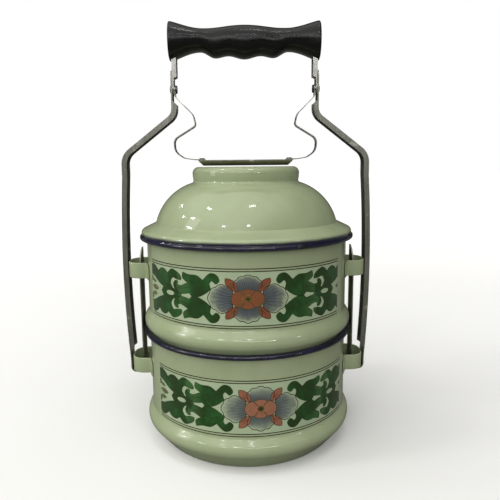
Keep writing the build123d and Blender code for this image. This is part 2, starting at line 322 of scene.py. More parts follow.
def enamel():
    """Pale sage enamel, navy where the attribute navy says, with faint clouding and a few pin specks."""
    made = Material("sage_enamel")
    clouds = made.range(made.noise(14, detail=5, roughness=0.6), 0.3, 0.7)
    sage = made.mix(clouds, screen(151, 162, 127), screen(164, 175, 141))
    streaks = made.range(made.noise(60, detail=4, stretch=(1, 1, 0.25)), 0.45, 0.8, 0, 0.35)
    sage = made.mix(streaks, sage, screen(138, 152, 112))
    specks = made.range(made.noise(900, detail=1), 0.76, 0.8)
    sage = made.mix(specks, sage, screen(72, 76, 56))
    mottle = made.range(made.noise(90, detail=4), 0.3, 0.75)
    navy = made.mix(mottle, screen(14, 13, 26), screen(32, 31, 62))
    ragged = made.range(made.noise(60, detail=4), 0.3, 0.7, -0.1, 0.1)
    edge = made.range(made.math("ADD", made.attribute("navy"), ragged), 0.2, 0.8)
    return enamel_surface(made, made.mix(edge, sage, navy))


def steel(name, dark, light, rough, grain=(1, 1, 0.05)):
    """Rolled strip steel: grain, long on the axis with the small number, stain clouds and rubbed patches."""
    made = Material(name)
    drawn = made.noise(700, detail=4, roughness=0.65, stretch=grain)
    stain = made.noise(45, detail=6, roughness=0.65)
    share = made.math("ADD", made.range(drawn, 0.3, 0.7, 0, 0.45), made.range(stain, 0.35, 0.7, 0, 0.55))
    colour = made.mix(share, dark, light)
    rubbed = made.range(made.noise(120, detail=5), 0.62, 0.78)
    colour = made.mix(rubbed, colour, screen(205, 203, 196))
    gloss = made.range(stain, 0.3, 0.75, rough + 0.12, rough - 0.06)
    skin = made.bump(drawn, strength=0.25, distance=0.04)
    skin = made.bump(made.noise(160, detail=3), strength=0.3, distance=0.12, before=skin)
    made.set(Base_Color=colour, Roughness=gloss, Normal=skin, Metallic=1.0)
    return made.material


def plastic():
    """Glossy black moulded plastic with fine scuffs and dust."""
    made = Material("black_plastic")
    scuffs = made.noise(260, detail=6, roughness=0.7, stretch=(0.3, 1, 1))
    colour = made.mix(made.range(scuffs, 0.5, 0.85), screen(3, 3, 3), screen(15, 15, 16))
    gloss = made.range(scuffs, 0.35, 0.75, 0.16, 0.36)
    skin = made.bump(made.noise(420, detail=3), strength=0.12, distance=0.06)
    skin = made.bump(made.noise(60, detail=2), strength=0.4, distance=0.25, before=skin)
    made.set(Base_Color=colour, Roughness=gloss, Normal=skin, Specular_IOR_Level=PLASTIC_GLOSS)
    return made.material


ENAMEL = enamel()
LEG_STEEL = steel("strip_steel", screen(98, 98, 88), screen(168, 168, 160), rough=0.32)
STRAP_STEEL = steel("strap_steel", screen(150, 149, 144), screen(198, 197, 192), rough=0.3)
SPRING_STEEL = steel("spring_steel", screen(120, 118, 112), screen(186, 184, 178), rough=0.3)
BAR_STEEL = steel("bar_steel", screen(104, 103, 88), screen(158, 157, 140), rough=0.36, grain=(0.05, 1, 1))
RIVET_STEEL = steel("rivet_steel", screen(66, 65, 62), screen(112, 111, 106), rough=0.34, grain=(1, 1, 1))
PLASTIC = plastic()


# ---- bowls and lid ----
FOOT_RADIUS, FOOT_BEND = 67.2, 5.0
BULGE_RADIUS, BULGE_LOW, BULGE_HIGH = 79.5, 15.0, 20.2  # widest between these heights above the foot
BULGE_LOW_BEND, BULGE_HIGH_BEND = 7.0, 8.5
WALL_START, WALL_BEND = 25.6, 4.0
BEAD_BEND, BEAD_ROOT_BEND, BEAD_INNER_BEND = 1.25, 0.3, 1.4  # of the rolled rims, the last two of a bowl's
NAVY_INSIDE, NAVY_BELOW = 0.8, 0.1  # how far the navy runs down inside a bowl, and below its rolled rim

SKIRT_INSET, SKIRT_ROOT_BEND = 1.3, 0.4  # the lid's skirt: how far it is inside the rim, its bend there
SKIRT_TOP, SKIRT_BEND = 160.5, 2.6  # heights on the lid are from the floor
RIM_OVERLAP = 0.6  # from the lid's rim to where its skirt's outline starts
LID_STEP = (68.7, 165.7)  # (radius, height) where the sloping shoulder meets the dome
LID_NECK = (44.2, 193.6)  # and where the dome meets the boss
DOME_RISE, DOME_STEPS = 4.4, 24
BOSS_RADIUS, BOSS_TOP_BEND = 40.3, 4.6
BOSS_ROOT, BOSS_WAIST = (39.6, 195.2, 1.6), (BOSS_RADIUS, 199.5, 6.0)  # (radius, height, bend)
LID_NAVY_TOP, LID_NAVY_FADE = 3.4, 2.6  # how far above the rim the navy ends, and over what height it fades


def bowl_profile():
    """The closed section of a bowl: outside from the middle up, round the rolled rim and down inside."""
    low_edge = RIM_HEIGHT - RIM_DEPTH
    outside = rounded([(0, 0), (FOOT_RADIUS, 0, FOOT_BEND), (BULGE_RADIUS, BULGE_LOW, BULGE_LOW_BEND),
                       (BULGE_RADIUS, BULGE_HIGH, BULGE_HIGH_BEND), (WALL, WALL_START, WALL_BEND),
                       (WALL, low_edge)])[:-1]
    rim = rounded([(WALL, low_edge - 1), (WALL, low_edge, BEAD_ROOT_BEND), (RIM_RADIUS, low_edge, BEAD_BEND),
                   (RIM_RADIUS, RIM_HEIGHT, BEAD_BEND), (WALL - SHEET, RIM_HEIGHT, BEAD_INNER_BEND),
                   (WALL - SHEET, low_edge - 1)])
    return outside + rim + offset(outside, SHEET)[::-1]


def lid_profile():
    """The closed section of the lid: round the rolled rim, up the outside and down inside."""
    skirt, rim_top = LID_RIM_RADIUS - SKIRT_INSET, LID_RIM_LOW + RIM_DEPTH
    skirt_start = rim_top + RIM_OVERLAP
    shoulder = rounded([(skirt, skirt_start), (skirt, SKIRT_TOP, SKIRT_BEND), LID_STEP])
    dome = arc(LID_NECK, LID_STEP, DOME_RISE, DOME_STEPS)[::-1]
    neck = rounded([LID_NECK, BOSS_ROOT, BOSS_WAIST, (BOSS_RADIUS, LID_TOP, BOSS_TOP_BEND), (0, LID_TOP)])
    outside = shoulder[:-1] + dome[:-1] + neck
    rim = rounded([(skirt - LID_SHEET, skirt_start), (skirt - LID_SHEET, LID_RIM_LOW, BEAD_BEND),
                   (LID_RIM_RADIUS, LID_RIM_LOW, BEAD_BEND), (LID_RIM_RADIUS, rim_top, BEAD_BEND),
                   (skirt, rim_top, SKIRT_ROOT_BEND), (skirt, skirt_start)])
    return rim[1:-1] + outside + offset(outside, LID_SHEET)[::-1]


def bowl_navy(radius, height):
    """Navy on the rolled rim and just inside it."""
    on_bead = height > RIM_HEIGHT - RIM_DEPTH - NAVY_BELOW and radius > WALL - SHEET / 2
    return 1.0 if on_bead or height > RIM_HEIGHT - NAVY_INSIDE else 0.0


def lid_navy(radius, height):
    """Navy on the rolled rim, fading up the skirt."""
    fade = (LID_RIM_LOW + RIM_DEPTH + LID_NAVY_TOP - height) / LID_NAVY_FADE
    return min(max(fade, 0.0), 1.0) if radius > WALL else 0.0


def make_tiers():
    for tier, body, foot in TIERS:
        bowl = turned(f"{tier}_bowl_enamel", bowl_profile(), foot, ENAMEL, bowl_navy)
        stand_in(f"{tier}_bowl", bowl, body)
        for side, sign in (("right", 1), ("left", -1)):
            ear = ear_mesh(f"{tier}_{side}_ear_enamel", sign, foot)
            stand_in(f"{tier}_{side}_ear", ear, body)
    lid = turned("lid_enamel", lid_profile(), 0, ENAMEL, lid_navy)
    stand_in("lid", lid, "lid")


# ---- ears ----
EAR_CENTRE, EAR_HEIGHT = 54.4, 12.0  # height of its middle above a bowl's foot, and of its strap
EAR_HALF_WIDTH, EAR_CORNER = 13.7, 10.0  # of the loop, outside, seen from above
EAR_FOOT_ANGLE = math.radians(18.8)  # round the wall, from the loop's middle to a foot's end
EAR_ROOT_ANGLE = math.radians(1.2)  # from the loop's side to where a foot leaves the wall
EAR_ROOT_OUT, EAR_ROOT_BEND = 0.6, 1.6  # how far it stands out there, and its bend
EAR_EDGE, EDGE_STEP = 0.55, math.radians(30)  # radius of the strap's edges, and turn between their points
EAR_TAPER = 6  # path points over which each foot thins into the wall
THIN_END, LOW_END = 0.3, 0.86  # what is left of the strap's thickness and height at the end of a foot


def ear_section():
    """The strap's section as (through the sheet, height): flat faces and round edges."""
    half, tall = SHEET / 2, EAR_HEIGHT / 2
    corners = [(x, y, EAR_EDGE) for x, y in ((half, -tall), (half, tall), (-half, tall), (-half, -tall))]
    return [tuple(p) for p in rounded([(0, -tall), *corners, (0, -tall)], EDGE_STEP)[:-1]]


def ear_path():
    """The middle line of the right ear's strap, from one foot on the wall round the loop to the other."""
    half_width, reach, on_wall = EAR_HALF_WIDTH - SHEET / 2, EAR_REACH - SHEET / 2, WALL + SHEET / 2
    root = math.asin(half_width / on_wall) + EAR_ROOT_ANGLE
    foot = [root + (EAR_FOOT_ANGLE - root) * i / EAR_TAPER for i in range(EAR_TAPER, 0, -1)]
    half = [(on_wall * math.cos(a), on_wall * math.sin(a)) for a in foot]
    half.append((on_wall * math.cos(root) + EAR_ROOT_OUT, half_width, EAR_ROOT_BEND))
    half.append((reach, half_width, EAR_CORNER - SHEET / 2))
    return rounded(half + [(x, -y, *rest) for x, y, *rest in reversed(half)])


def ear_mesh(name, sign, foot):
    path, stations = ear_path(), []
    last = len(path) - 1
    for i, point in enumerate(path):
        along = (path[min(i + 1, last)] - path[max(i - 1, 0)]).normalized()
        inset = min(min(i, last - i) / EAR_TAPER, 1)
        thick = THIN_END + (1 - THIN_END) * inset
        tall = LOW_END + (1 - LOW_END) * inset**0.5
        outward = Vector((-along.y * sign, along.x, 0))
        stations.append((Vector((point.x * sign, point.y, foot + EAR_CENTRE)), outward * thick,
                         Vector((0, 0, tall))))
    mesh = swept(name, stations, ear_section(), ENAMEL)
    bm = bmesh.new()
    bm.from_mesh(mesh)
    bmesh.ops.recalc_face_normals(bm, faces=bm.faces)
    bm.to_mesh(mesh)
    bm.free()
    mesh.attributes.new("navy", "FLOAT", "POINT")
    return mesh


make_tiers()

# ---- printed band: a flower and leaf border in simple shapes, drawn flat in millimetres ----
# x runs along the wall from the middle of the flower, y up from the middle of the band.
BAND_LEFT, BAND_RIGHT, BAND_HALF = -84.0, 75.5, 18.0
BAND_MIDDLE = 47.4  # height of the band's middle above a bowl's foot
LOWER_BAND_TOP = LOWER_FOOT + BAND_MIDDLE + BAND_HALF
UPPER_BAND_LOW = UPPER_FOOT + BAND_MIDDLE - BAND_HALF
FRAME_LINE, FRAME_GAP = 0.64, 1.7  # width of the band's edge lines, and from one to the next
LEAF_LINE, HEART_LINE, PETAL_LINE, NOTCH_LINE = 0.4, 0.45, 0.5, 0.55  # widths of drawn lines
LIFT, LAYER = 0.03, 0.014  # the lowest layer above the enamel, and each layer above the last
STRIP = 2.5  # widest flat piece round the wall
STROKE_STEPS, LOBE_STEPS = 5, 9  # pieces of a stroke from one given point to the next, and of a lobe
FLOWER_TURN = {"lower": 5.7, "upper": -0.2}  # degrees from the front to the middle of the flower

# Leaves are strokes that meet at corners. This one is beside the flower, right of it and above the middle.
NEAR_LEAF = [
    [(24.4, 6.0), (25.3, 9.4), (23.6, 11.5), (20.8, 9.6), (18.5, 12.0), (20.6, 15.6), (25.0, 16.2),
     (30.0, 11.6)],
    [(30.0, 11.6), (34.5, 14.4), (40.5, 14.5), (45.4, 15.8)],
    [(45.4, 15.8), (45.9, 12.0), (41.8, 8.9)],
    [(41.8, 8.9), (47.4, 6.4), (50.4, 7.0), (50.2, 9.0), (52.6, 9.2), (54.5, 6.4), (52.6, 2.9), (47.5, 0.9),
     (40.5, 2.0)],
    [(40.5, 2.0), (38.6, 0.1)],
    [(38.6, 0.1), (33.0, 0.4), (28.0, 3.0), (24.4, 6.0)],
]
# And this is the upper half of the leaves beyond it, from one end of their middle line to the other.
FAR_LEAF = [
    [(46.8, 0.0), (50.0, 2.1), (55.2, 3.7)],
    [(55.2, 3.7), (57.3, 7.4), (54.9, 11.0), (50.6, 10.2), (47.0, 10.6), (48.6, 14.0), (55.3, 16.8),
     (60.4, 13.6)],
    [(60.4, 13.6), (64.0, 15.8), (68.5, 15.6), (72.2, 13.2)],
    [(72.2, 13.2), (76.4, 16.2), (81.5, 17.0), (87.0, 14.0)],
    [(87.0, 14.0), (84.5, 10.0), (78.5, 8.4), (72.0, 5.4), (65.8, 3.2)],
    [(65.8, 3.2), (68.2, 0.0)],
]
NEAR_VEIN = [(27.5, 6.5), (34.0, 8.0), (44.0, 5.0), (50.5, 4.4)]
FAR_VEIN = [(62.0, 4.5), (68.0, 9.5), (78.0, 12.5)]
KNOT, KNOT_SIZE = (58.0, 0.0), (4.0, 1.6)  # the pale oval where the far leaves part
# Petals and the like are round lobes: each is its start, its end and how far it bulges.
SIDE_PETAL = [
    ((9.8, -4.6), (14.2, -8.6), 1.3), ((14.2, -8.6), (20.8, -7.6), 1.6), ((20.8, -7.6), (25.2, -3.4), 1.2),
    ((25.2, -3.4), (25.2, 3.3), 1.5), ((25.2, 3.3), (21.0, 7.4), 1.2), ((21.0, 7.4), (14.2, 8.4), 1.6),
    ((14.2, 8.4), (9.8, 4.6), 1.3),
]
TOP_PETAL = [
    ((5.4, 4.6), (8.6, 8.2), 0.9), ((8.6, 8.2), (7.2, 12.6), 1.3), ((7.2, 12.6), (2.9, 14.6), 1.0),
    ((2.9, 14.6), (-2.9, 14.6), 1.3), ((-2.9, 14.6), (-7.2, 12.6), 1.0), ((-7.2, 12.6), (-8.6, 8.2), 1.3),
    ((-8.6, 8.2), (-5.4, 4.6), 0.9),
]
SIDE_ROOT, TOP_ROOT = (10, 0), (0, 5)
PETAL_FILL = 0.92  # a petal's fill is its outline, shrunk this far towards its root
HEART = [
    ((4.6, -5.2), (4.6, 5.2), 6.3), ((4.6, 5.2), (-4.6, 5.2), 1.5), ((-4.6, 5.2), (-4.6, -5.2), 6.3),
    ((-4.6, -5.2), (4.6, -5.2), 1.5),
]
NOTCH = [(1.8, 2.0), (4.5, 5.0)]  # a line between two of the heart's parts
EYE_SIZE, PUPIL_SIZE = (2.3, 2.0), (1.1, 0.9)
BUD = [((6.8, 5.0), (14.6, 13.4), 2.9), ((14.6, 13.4), (6.8, 5.0), 2.9)]
BUD_VEIN = [(7.5, 5.8), (11.6, 10.2)]
END_PETALS = [(75.6, 4.7, 1.3), (71.9, 0.6, 2.0), (74.8, -3.6, 1.6)]  # x of the tip, height, bulge
END_ROOT, END_SPREAD = 83.4, 1.2  # x where they start, and how much further apart they are there
END_LEAF, END_LEAF_SIZE = (83.4, 6.4), (1.9, 2.1)  # a leaf tip at the end of the band


def strokes(parts):
    """An outline from smooth strokes."""
    return [point for part in parts for point in through(part, STROKE_STEPS)[:-1]]


def lobes(parts):
    """An outline from round lobes."""
    return [point for start, end, rise in parts for point in arc(start, end, -rise, LOBE_STEPS)[:-1]]


def flipped(outline, x=1, y=1):
    """The outline, mirrored where x or y is -1."""
    return [Vector((p[0] * x, p[1] * y)) for p in outline]


def shrunk(outline, anchor, share):
    """The outline pulled towards a point."""
    anchor = Vector(anchor)
    return [anchor + (p - anchor) * share for p in outline]


def oval(middle, size, count=20):
    """An oval of half a width and half a height round a point."""
    turns = [2 * math.pi * i / count for i in range(count)]
    return [Vector((middle[0] + size[0] * math.cos(a), middle[1] + size[1] * math.sin(a))) for a in turns]


NO_AREA = 1e-6  # a triangle smaller than this is left out
MM_PER_CM = 10


class Print:
    """A flat drawing of filled outlines and drawn lines, in layers from 0 up, then wrapped on the wall."""

    def __init__(self, materials):
        self.mesh = bmesh.new()
        self.layer = self.mesh.verts.layers.float.new("layer")
        self.materials = materials

    def face(self, corners, layer, ink):
        """One face, with vertices of its own."""
        made = []
        for corner in corners:
            vertex = self.mesh.verts.new((corner[0], corner[1], 0))
            vertex[self.layer] = layer
            made.append(vertex)
        self.mesh.faces.new(made).material_index = self.materials.index(ink)

    def fill(self, outline, layer, ink):
        """An outline filled with triangles that face out of the wall."""
        for triangle in tessellate_polygon([[p.to_3d() for p in outline]]):
            corners = [outline[i] for i in triangle]
            side, other = corners[1] - corners[0], corners[2] - corners[0]
            turn = side.x * other.y - side.y * other.x
            if abs(turn) > NO_AREA:
                self.face(corners if turn > 0 else corners[::-1], layer, ink)

    def draw(self, line, width, layer, ink, closed=True):
        """A line of even width."""
        count, edges = len(line), []
        for i, point in enumerate(line):
            before = line[i - 1] if closed or i else line[0]
            after = line[(i + 1) % count] if closed or i < count - 1 else line[-1]
            along = (after - before).normalized()
            across = Vector((-along.y, along.x)) * (width / 2)
            edges.append((point + across, point - across))
        for i in range(count if closed else count - 1):
            (left, right), (next_left, next_right) = edges[i], edges[(i + 1) % count]
            self.face((right, next_right, next_left, left), layer, ink)

    def cut(self, x, side=1, clear=False):
        """A cut across the drawing, which perhaps clears what is on its right (1) or left (-1)."""
        everything = self.mesh.verts[:] + self.mesh.edges[:] + self.mesh.faces[:]
        bmesh.ops.bisect_plane(self.mesh, geom=everything, plane_co=(x, 0, 0), plane_no=(side, 0, 0),
                               clear_outer=clear)

    def trim(self, low, high):
        """Cuts the drawing off at both ends, then into strips narrow enough to follow the wall."""
        self.cut(low, -1, clear=True)
        self.cut(high, 1, clear=True)
        for i in range(1, int((high - low) / STRIP)):
            self.cut(low + i * STRIP)

    def wrap(self, name, turn, height):
        """The drawing as a mesh on the wall, with its flat place, in centimetres, as its UV map."""
        flat = self.mesh.loops.layers.uv.new("print")
        for face in self.mesh.faces:
            for loop in face.loops:
                loop[flat].uv = (loop.vert.co.x / MM_PER_CM, loop.vert.co.y / MM_PER_CM)
        for vertex in self.mesh.verts:
            radius = WALL + LIFT + vertex[self.layer] * LAYER
            angle = turn + vertex.co.x / WALL
            wrapped = (radius * math.sin(angle), -radius * math.cos(angle), height + vertex.co.y)
            vertex.co = Vector(wrapped) * MM
        mesh = bpy.data.meshes.new(name)
        self.mesh.to_mesh(mesh)
        self.mesh.free()
        for material in self.materials:
            mesh.materials.append(material)
        for polygon in mesh.polygons:
            polygon.use_smooth = True
        outward = [Vector((v.co.x, v.co.y, 0)).normalized() for v in mesh.vertices]
        mesh.normals_split_custom_set_from_vertices(outward)
        return mesh


QUARTERS = [(x, y) for x in (1, -1) for y in (1, -1)]  # a drawing is mirrored into all four corners


def draw_flower(band):
    for way in (1, -1):
        side, top = flipped(lobes(SIDE_PETAL), x=way), flipped(lobes(TOP_PETAL), y=way)
        for petal, root in ((side, flipped([SIDE_ROOT], x=way)[0]), (top, flipped([TOP_ROOT], y=way)[0])):
            band.fill(petal, 1, PETAL_EDGE_INK)
            band.fill(shrunk(petal, root, PETAL_FILL), 2, PETAL_INK)
            band.draw(petal, PETAL_LINE, 3, LINE_INK)
    for x, y in QUARTERS:
        bud = flipped(lobes(BUD), x, y)
        band.fill(bud, 3, BUD_INK)
        band.draw(bud, PETAL_LINE, 4, BUD_LINE_INK)
        band.draw(flipped(BUD_VEIN, x, y), PETAL_LINE, 4, BUD_LINE_INK, closed=False)
    heart = lobes(HEART)
    band.fill(heart, 4, HEART_INK)
    band.draw(heart, HEART_LINE, 5, BUD_LINE_INK)
    for x, y in QUARTERS:
        band.draw(flipped(NOTCH, x, y), NOTCH_LINE, 5, BUD_LINE_INK, closed=False)
    band.fill(oval((0, 0), EYE_SIZE, 12), 5, EYE_INK)
    band.fill(oval((0, 0), PUPIL_SIZE, 8), 6, LINE_INK)


def draw_leaves(band):
    near, half = strokes(NEAR_LEAF), strokes(FAR_LEAF)
    far = half + [Vector(FAR_LEAF[-1][-1])] + flipped(half[1:], y=-1)[::-1]
    for x, y in QUARTERS:
        leaf = flipped(near, x, y)
        band.fill(leaf, 1, LEAF_INK)
        band.draw(leaf, LEAF_LINE, 2, LEAF_LINE_INK)
        for vein in (NEAR_VEIN, FAR_VEIN):
            band.draw(flipped(through(vein), x, y), LEAF_LINE, 2, LEAF_LINE_INK, closed=False)
        band.fill(oval((END_LEAF[0] * x, END_LEAF[1] * y), END_LEAF_SIZE, 14), 1, LEAF_INK)
    for way in (1, -1):
        leaf = flipped(far, x=way)
        band.fill(leaf, 1, LEAF_INK)
        band.draw(leaf, LEAF_LINE, 2, LEAF_LINE_INK)
        band.fill(oval((KNOT[0] * way, KNOT[1]), KNOT_SIZE), 3, GROUND_INK)
        for tip_x, height, bulge in END_PETALS:
            tip, root = (tip_x, height), (END_ROOT, height * END_SPREAD)
            petal = lobes([(tip, root, bulge), (root, tip, bulge)])
            band.fill(flipped(petal, x=way), 2, END_INK)


def draw_frame(band):
    ends = ((BAND_LEFT, -1), (BAND_RIGHT, -1), (BAND_RIGHT, 1), (BAND_LEFT, 1))
    band.fill([Vector((x, BAND_HALF * side)) for x, side in ends], 0, GROUND_INK)
    for height in (BAND_HALF, BAND_HALF + FRAME_GAP):
        for way in (1, -1):
            line = [Vector((x, height * way)) for x in (BAND_LEFT, BAND_RIGHT)]
            band.draw(line, FRAME_LINE, 1, LINE_INK, closed=False)


# ---- printed inks ----
FADED_INK, PALE_SPECK, STAIN = 0.4, screen(168, 180, 140), screen(88, 88, 44)
HATCH_COUNT = 52.0  # fine lines round the whole flower
PETAL_SQUASH = 1.78  # a height counts this many times, because the upper and lower petals are shorter
PETAL_START, PETAL_END = 0.9, 2.6  # centimetres from the flower's middle


def on_lower_bowl(made):
    """1 on the lower bowl's band and 0 on the upper bowl's."""
    return made.range(made.parts(made.place)["Z"], LOWER_BAND_TOP * MM, UPPER_BAND_LOW * MM, 1.0, 0.0)


def ink(name, dark, light, scale=110, faded=None):
    """An uneven printed colour, glossed like enamel. A faded one is stained, and paler on the lower bowl."""
    made = Material(name)
    uneven = made.noise(scale, detail=5, roughness=0.6)
    colour = made.mix(made.range(uneven, 0.3, 0.7), dark, light)
    if faded:
        colour = made.mix(made.math("MULTIPLY", on_lower_bowl(made), FADED_INK), colour, faded)
        stains = made.noise(330, detail=4, roughness=0.6)
        colour = made.mix(made.range(stains, 0.5, 0.66, 0.0, 0.42), colour, STAIN)
    dots = made.range(made.noise(1300, detail=1), 0.66, 0.72, 0, 0.16)
    return enamel_surface(made, made.mix(dots, colour, PALE_SPECK))


def leaf_ink():
    """Leaf green, paler towards the tips of the leaves beside the flower."""
    made = Material("leaf_ink")
    uneven = made.noise(70, detail=5, roughness=0.6)
    colour = made.ramp(uneven, [(0.34, screen(28, 50, 6)), (0.5, screen(24, 63, 18)),
                                (0.66, screen(36, 84, 32))])
    along = made.math("ABSOLUTE", made.parts(made.printed_place())["X"])
    along = made.math("ADD", along, made.range(made.noise(90), 0.3, 0.7, -0.4, 0.4))
    near_tip = made.range(along, 3.9, 5.0)
    before_far_leaf = made.range(along, 5.0, 5.2, 1.0, 0.0)
    pale = made.math("MULTIPLY", made.math("MULTIPLY", near_tip, before_far_leaf), 0.5)
    colour = made.mix(pale, colour, screen(72, 112, 64))
    dots = made.range(made.noise(1300, detail=1), 0.64, 0.72, 0, 0.08)
    return enamel_surface(made, made.mix(dots, colour, screen(130, 150, 104)))


def petal_ink():
    """Slate with fine hatching, fading outwards to the ground's tone, and further on the lower bowl."""
    made = Material("petal_ink")
    flat = made.printed_place()
    squared = made.node("ShaderNodeMapping", {"Vector": flat, "Scale": (1, PETAL_SQUASH, 0)}).outputs[0]
    ragged = made.range(made.noise(150, detail=4), 0.3, 0.7, -0.25, 0.25)
    reach = made.math("ADD", made.length(squared), ragged)
    share = made.range(reach, PETAL_START, PETAL_END)
    colour = made.ramp(share, [(0.0, screen(52, 62, 68)), (0.5, screen(78, 83, 88)),
                               (0.78, screen(104, 112, 102)), (1.0, screen(152, 164, 136))])
    fading = made.math("MULTIPLY", on_lower_bowl(made), made.range(share, 0.3, 1.0, 0.08, 0.4))
    colour = made.mix(fading, colour, screen(158, 172, 146))
    turn = made.math("ARCTAN2", made.parts(flat)["Y"], made.parts(flat)["X"])
    turn = made.math("ADD", turn, made.range(made.noise(160, detail=3), 0.3, 0.7, -0.04, 0.04))
    hatch = made.math("SINE", made.math("MULTIPLY", turn, HATCH_COUNT))
    colour = made.mix(made.range(hatch, 0.1, 0.9, 0, 0.15), colour, screen(146, 152, 140))
    colour = made.mix(made.range(hatch, -0.9, -0.4, 0.17, 0.0), colour, screen(52, 60, 60))
    return enamel_surface(made, colour)


GROUND_INK = ink("band_ground", screen(160, 176, 142), screen(175, 189, 158), 40)
LINE_INK = ink("olive_line", screen(22, 27, 8), screen(36, 40, 16))
LEAF_INK = leaf_ink()
LEAF_LINE_INK = ink("leaf_line", screen(24, 42, 20), screen(38, 58, 30))
PETAL_INK = petal_ink()
PETAL_EDGE_INK = ink("petal_edge", screen(148, 158, 134), screen(172, 180, 156))
BUD_INK = ink("bud_coral", screen(112, 64, 40), screen(146, 72, 56), 160, faded=screen(176, 118, 96))
BUD_LINE_INK = ink("bud_line", screen(62, 58, 34), screen(92, 62, 44))
HEART_INK = ink("heart_coral", screen(112, 74, 36), screen(142, 72, 50), 130, faded=screen(178, 128, 106))
EYE_INK = ink("heart_eye", screen(60, 60, 16), screen(92, 80, 24))
END_INK = ink("end_petal", screen(70, 76, 36), screen(116, 118, 84), 220)
INKS = (GROUND_INK, LINE_INK, LEAF_INK, LEAF_LINE_INK, PETAL_INK, PETAL_EDGE_INK, BUD_INK, BUD_LINE_INK,
        HEART_INK, EYE_INK, END_INK)


def make_bands():
    for tier, body, foot in TIERS:
        for side, half_turn in (("front", 0), ("back", 180)):
            band = Print(INKS)
            draw_frame(band)
            draw_leaves(band)
            draw_flower(band)
            band.trim(BAND_LEFT, BAND_RIGHT)
            turn = math.radians(FLOWER_TURN[tier] + half_turn)
            add_piece(band.wrap(f"{tier}_{side}_band", turn, foot + BAND_MIDDLE), body)


make_bands()

# ---- grip ----
GRIP_TOP = [(0.0, 307.8), (30.0, 305.4), (64.0, 311.9)]  # (distance from the middle, height)
GRIP_BOTTOM = [(0.0, 284.4), (11.9, 286.7), (21.3, 285.2), (32.3, 289.5), (64.0, 281.0)]
GRIP_HALF_DEPTH = [(0.0, 11.6), (30.0, 10.8), (64.0, 13.4)]
GRIP_SQUARENESS, GRIP_STEPS, GRIP_SIDES = 2.3, 110, 56
GRIP_EDGE, EDGE_POINTS = 1.4, 6  # radius of the rounded edge of each end, and its points
RECESS_WALL, RECESS_DEPTH = 2.2, 0.9  # the shallow hollow moulded into each end
RECESS_MOUTH, RECESS_RING = 0.8, 1.4  # of that wall: how far in the mouth is, and a ring on the floor


def wave(knots, distance):
    """Cosine steps between knots, so that each knot is a crest, a valley or a flat."""
    for (start, low), (end, high) in zip(knots, knots[1:]):
        if abs(distance) <= end:
            share = (1 - math.cos(math.pi * (abs(distance) - start) / (end - start))) / 2
            return low + (high - low) * share
    return knots[-1][1]


def squarish(value):
    return math.copysign(abs(value) ** (2 / GRIP_SQUARENESS), value)


def grip_section(x, inset):
    """A squarish oval, made smaller all round by inset."""
    top, bottom = wave(GRIP_TOP, x) - inset, wave(GRIP_BOTTOM, x) + inset
    depth, middle, ring = wave(GRIP_HALF_DEPTH, x) - inset, (top + bottom) / 2, []
    for i in range(GRIP_SIDES):
        turn = 2 * math.pi * i / GRIP_SIDES
        across, upward = squarish(math.cos(turn)), squarish(math.sin(turn))
        ring.append((x, depth * across, middle + (top - bottom) / 2 * upward))
    return ring


def grip_stations():
    """(place along the grip, how far its section is drawn in), from the floor of one recess to the other."""
    half_length = corner_of("handle_grip", high=True).x
    floor = half_length - RECESS_DEPTH
    end = [(floor, GRIP_EDGE + RECESS_RING * RECESS_WALL), (floor, GRIP_EDGE + RECESS_WALL),
           (half_length, GRIP_EDGE + RECESS_MOUTH * RECESS_WALL)]
    for i in range(EDGE_POINTS):
        turn = math.pi / 2 * i / (EDGE_POINTS - 1)
        end.append((half_length - GRIP_EDGE * (1 - math.cos(turn)), GRIP_EDGE * (1 - math.sin(turn))))
    straight = half_length - GRIP_EDGE
    middle = [(straight * (1 - 2 * i / GRIP_STEPS), 0.0) for i in range(1, GRIP_STEPS)]
    return end + middle + [(-x, inset) for x, inset in reversed(end)]


def make_grip():
    stations = grip_stations()
    points = [p for x, inset in stations for p in grip_section(x, inset)]
    faces = [tuple(range(GRIP_SIDES)), tuple(reversed(range(len(points) - GRIP_SIDES, len(points))))]
    for start in range(0, len(points) - GRIP_SIDES, GRIP_SIDES):
        for j in range(GRIP_SIDES):
            here, beside = start + j, start + (j + 1) % GRIP_SIDES
            faces.append((beside, here, here + GRIP_SIDES, beside + GRIP_SIDES))
    grip = mesh_of("moulded_grip", points, faces, PLASTIC)
    stand_in("handle_grip", grip, "base", sharp=50)


make_grip()

# ---- carried-over CAD nodes ----
FINISHES = {
    "right_leg": LEG_STEEL, "left_leg": LEG_STEEL, "handle_strap": STRAP_STEEL,
    "right_pivot_pin": RIVET_STEEL, "left_pivot_pin": RIVET_STEEL, "lap_rivets": RIVET_STEEL,
    "bar_rivets": RIVET_STEEL, "right_spring": SPRING_STEEL, "left_spring": SPRING_STEEL,
    "clamp_bar": BAR_STEEL,
}
for node, material in FINISHES.items():
    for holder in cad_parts[node].material_slots:
        holder.material = material


# ---- camera, floor and light ----
CAMERA_PLACE = (-4.10, -396.77, 206.57)  # millimetres
CAMERA_DOWN, CAMERA_TURN, CAMERA_ROLL = math.radians(9.217), math.radians(0.970), math.radians(-0.55)
SENSOR, FOCAL_SHARE = 36.0, 1.03156  # millimetres, and the focal length as a share of that
GLOW_DIRECTION, GLOW_EDGE = (-0.3, -0.4, 1.0), (0.36, 0.95)
ROOM_LIGHT, GLOW_LIGHT, GLOW_COLOUR = 0.05, 1.52, (1.0, 0.99, 0.96, 1)
